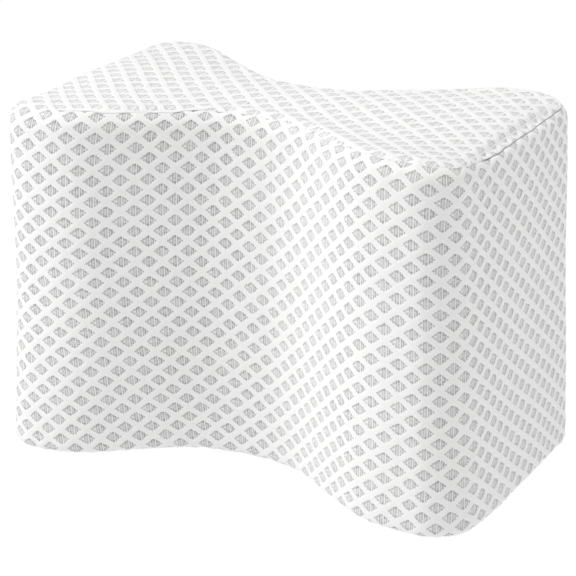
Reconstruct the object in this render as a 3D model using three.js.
// A contoured knee pillow: an hourglass block of firm filling in a sewn knit cover, standing on its flat end.
// Millimetres. +X runs along the hourglass, +Y across it and +Z up. The origin is on the floor, below the middle.
import * as THREE from 'three';

// The hourglass in plan
const length = 276;
const waistHalfWidth = 35.5;
const waistRadius = 70;
const cornerRadius = 22;
const plainLobe = { halfWidth: 78, shoulderRadius: 58, slope: THREE.MathUtils.degToRad(32.5) };
const fullLobe = { halfWidth: 89, shoulderRadius: 52, slope: THREE.MathUtils.degToRad(35) };

// The block from the floor up
const height = 198;
const crown = 3;
const crownReach = 42;
const topRimRadius = 11;
const footRimRadius = 5;
const sideBulge = 1.5;
const footSpread = 0.025;

// The sewn cover
const panelThickness = 2;
const sewingGap = 0.37;
const seamAngle = THREE.MathUtils.degToRad(45);
const seamDip = 0.7;
const seamDipWidth = 1.8;

// Steps along each curve of a quarter of the outline, and up the side
const waistSteps = 6;
const slopeSteps = 3;
const shoulderSteps = 5;
const cornerSteps = 3;
const endSteps = 2;
const sideSteps = 8;
const sideFaces = 2 * (waistSteps + slopeSteps + shoulderSteps + 1 + cornerSteps);
const endFaces = 2 * (cornerSteps + endSteps);

// An arc whose tangent turns from one angle to another. Angles are measured from the long side's direction.
function arc(start, radius, from, to, steps, hollow) {
  const points = [];
  for (let step = 1; step <= steps; step += 1) {
    const angle = from + ((to - from) * step) / steps;
    const along = Math.abs(Math.sin(angle) - Math.sin(from)) * radius;
    const across = Math.abs(Math.cos(angle) - Math.cos(from)) * radius;
    points.push({
      x: start.x + along,
      y: start.y + (hollow ? across : -across),
      nx: -Math.sin(angle),
      ny: Math.cos(angle),
    });
  }
  return points;
}

function line(start, end, steps) {
  const points = [];
  for (let step = 1; step <= steps; step += 1) {
    const part = step / steps;
    points.push({
      x: start.x + (end.x - start.x) * part,
      y: start.y + (end.y - start.y) * part,
      nx: start.nx,
      ny: start.ny,
    });
  }
  return points;
}

// A quarter of the hourglass, from the waist round the lobe to the middle of the end, with outward normals.
function quarterOutline({ halfWidth, shoulderRadius, slope }) {
  const turn = (waistRadius + shoulderRadius) * (1 - Math.cos(slope));
  const straight = (halfWidth - waistHalfWidth - turn) / Math.sin(slope);
  const points = [{ x: 0, y: waistHalfWidth, nx: 0, ny: 1 }];
  const last = () => points[points.length - 1];
  points.push(...arc(last(), waistRadius, 0, slope, waistSteps, true));
  const top = { x: last().x + straight * Math.cos(slope), y: last().y + straight * Math.sin(slope) };
  points.push(...line(last(), top, slopeSteps));
  points.push(...arc(last(), shoulderRadius, slope, 0, shoulderSteps, true));
  points.push(...line(last(), { x: length / 2 - cornerRadius, y: last().y }, 1));
  points.push(...arc(last(), cornerRadius, 0, -Math.PI / 2, 2 * cornerSteps, false));
  points.push(...line(last(), { x: length / 2, y: 0 }, endSteps));
  return points;
}

function mirrored(points, signX, signY) {
  return points.map((p) => ({ x: signX * p.x, y: signY * p.y, nx: signX * p.nx, ny: signY * p.ny }));
}

// The whole outline, anticlockwise from the middle of the corner at -X, -Y, and centred across.
function wholeOutline() {
  const plain = quarterOutline(plainLobe);
  const full = quarterOutline(fullLobe);
  const cornerMiddle = sideFaces / 2;
  const frontLeft = mirrored(plain, -1, -1);
  const frontRight = mirrored(plain, 1, -1);
  const backRight = plain;
  const backLeft = mirrored(full, -1, 1);
  const loop = [
    ...frontLeft.slice(0, cornerMiddle + 1).reverse(),
    ...frontRight.slice(1),
    ...backRight.slice(0, -1).reverse(),
    ...backLeft.slice(1),
    ...frontLeft.slice(cornerMiddle + 1, -1).reverse(),
  ];
  const middle = (fullLobe.halfWidth - plainLobe.halfWidth) / 2;
  return loop.map((p) => ({ ...p, y: p.y - middle }));
}

const outline = wholeOutline();

// The outline drawn in by some millimetres, at one height. The soft block spreads a little towards its foot.
function ring(inset, z) {
  const spread = 1 + footSpread * (0.5 - z / height);
  return outline.map((p) => new THREE.Vector3(spread * p.x - inset * p.nx, spread * p.y - inset * p.ny, z));
}

// A ring on a rounded rim, at an angle that runs from 0 on the side to a quarter turn on the flat.
// The rim dips a little where the seam is sewn.
function rimRing(angle, depth, upper) {
  const rimRadius = upper ? topRimRadius : footRimRadius;
  const away = ((angle - seamAngle) * rimRadius) / seamDipWidth;
  const radius = rimRadius - depth - seamDip * Math.exp(-away * away);
  const rise = radius * Math.sin(angle);
  const z = upper ? height - crown - rimRadius + rise : rimRadius - rise;
  return ring(rimRadius - radius * Math.cos(angle), z);
}

// Rows of points that fill a ring, as a blend between its two long sides and its two ends.
function fillRows(edge) {
  const front = edge.slice(0, sideFaces + 1);
  const right = edge.slice(sideFaces, sideFaces + endFaces + 1);
  const back = edge.slice(sideFaces + endFaces, 2 * sideFaces + endFaces + 1).reverse();
  const left = [...edge.slice(2 * sideFaces + endFaces), edge[0]].reverse();
  const along = (side, i) => (side[i].x - side[0].x) / (side[sideFaces].x - side[0].x);
  const across = (end, j) => (end[j].y - end[0].y) / (end[endFaces].y - end[0].y);
  const rows = [];
  for (let i = 0; i <= sideFaces; i += 1) {
    const row = [];
    const a = (along(front, i) + along(back, i)) / 2;
    for (let j = 0; j <= endFaces; j += 1) {
      const b = (across(left, j) + across(right, j)) / 2;
      const point = new THREE.Vector3();
      point.addScaledVector(front[i], 1 - b).addScaledVector(back[i], b);
      point.addScaledVector(left[j], 1 - a).addScaledVector(right[j], a);
      point.addScaledVector(front[0], -(1 - a) * (1 - b)).addScaledVector(front[sideFaces], -a * (1 - b));
      point.addScaledVector(back[0], -(1 - a) * b).addScaledVector(back[sideFaces], -a * b);
      row.push(point);
    }
    rows.push(row);
  }
  return rows;
}

// Lifts a fill by the crown, which rises smoothly from the rim.
function crowned(rows, edge) {
  for (const row of rows) {
    for (const point of row) {
      const distance = Math.min(...edge.map((p) => Math.hypot(p.x - point.x, p.y - point.y)));
      const part = 1 - Math.min(1, distance / crownReach);
      point.z += crown * (1 - part * part);
    }
  }
  return rows;
}

// One closed solid: a fill that faces down, rings joined outwards and upwards, and a fill that faces up.
function closedSolid(rings, lowRows, highRows) {
  const triangles = [];
  const face = (...corners) => corners.forEach((p) => triangles.push(p.x, p.y, p.z));
  const count = outline.length;
  for (let r = 0; r + 1 < rings.length; r += 1) {
    for (let k = 0; k < count; k += 1) {
      const next = (k + 1) % count;
      face(rings[r][k], rings[r][next], rings[r + 1][next]);
      face(rings[r][k], rings[r + 1][next], rings[r + 1][k]);
    }
  }
  for (let i = 0; i < sideFaces; i += 1) {
    for (let j = 0; j < endFaces; j += 1) {
      const [a, b, c, d] = [lowRows[i][j], lowRows[i + 1][j], lowRows[i + 1][j + 1], lowRows[i][j + 1]];
      face(a, c, b);
      face(a, d, c);
      const [e, f, g, h] = [highRows[i][j], highRows[i + 1][j], highRows[i + 1][j + 1], highRows[i][j + 1]];
      face(e, f, g);
      face(e, g, h);
    }
  }
  const geometry = new THREE.BufferGeometry();
  geometry.setAttribute('position', new THREE.Float32BufferAttribute(triangles, 3));
  geometry.computeVertexNormals();
  return geometry;
}

// Rings on the rim: the band's rise from the side to the seam, the panels' from the seam to the flat.
// Both lie closer together at the seam, where the rim dips.
const bandRimSteps = [0, 0.25, 0.5, 0.75, 0.9, 1];
const panelRimSteps = [0, 0.12, 0.3, 0.6, 1];
const panelRimAngles = panelRimSteps.map((part) => seamAngle + part * (Math.PI / 2 - seamAngle));
const bodyDepth = panelThickness + sewingGap;

// The body's rings on one rim: up to the seam, a step in, and on under the panel.
function bodyRim(rimRadius, upper) {
  const edgeAngle = seamAngle - sewingGap / (rimRadius - bodyDepth - seamDip);
  const rings = bandRimSteps.map((part) => rimRing(part * edgeAngle, 0, upper));
  for (const angle of [edgeAngle, ...panelRimAngles]) {
    rings.push(rimRing(angle, bodyDepth, upper));
  }
  return rings;
}

// The filled body: the band is its outer face, and it is stepped in under the two panels.
function filledBand() {
  const rings = bodyRim(footRimRadius, false).reverse();
  const wallHeight = height - crown - topRimRadius - footRimRadius;
  for (let step = 1; step < sideSteps; step += 1) {
    const part = step / sideSteps;
    rings.push(ring(-sideBulge * Math.sin(Math.PI * part), footRimRadius + wallHeight * part));
  }
  rings.push(...bodyRim(topRimRadius, true));
  const last = rings[rings.length - 1];
  return closedSolid(rings, fillRows(rings[0]), crowned(fillRows(last), last));
}

function topPanel() {
  const inner = panelRimAngles.map((angle) => rimRing(angle, panelThickness, true)).reverse();
  const outer = panelRimAngles.map((angle) => rimRing(angle, 0, true));
  const low = inner[0];
  const high = outer[outer.length - 1];
  return closedSolid([...inner, ...outer], crowned(fillRows(low), low), crowned(fillRows(high), high));
}

function bottomPanel() {
  const outer = panelRimAngles.map((angle) => rimRing(angle, 0, false)).reverse();
  const inner = panelRimAngles.map((angle) => rimRing(angle, panelThickness, false));
  return closedSolid([...outer, ...inner], fillRows(outer[0]), fillRows(inner[inner.length - 1]));
}

// Off-white polyester knit
const knit = { roughness: 0.9, metalness: 0 };

function piece(name, geometry, color) {
  const mesh = new THREE.Mesh(geometry, new THREE.MeshStandardMaterial({ ...knit, color }));
  mesh.name = name;
  return mesh;
}

const pillow = new THREE.Group();
pillow.add(piece('filled_band', filledBand(), 0xe4e4e2));
pillow.add(piece('top_panel', topPanel(), 0xeeeeec));
pillow.add(piece('bottom_panel', bottomPanel(), 0xe9e9e7));

export default pillow;
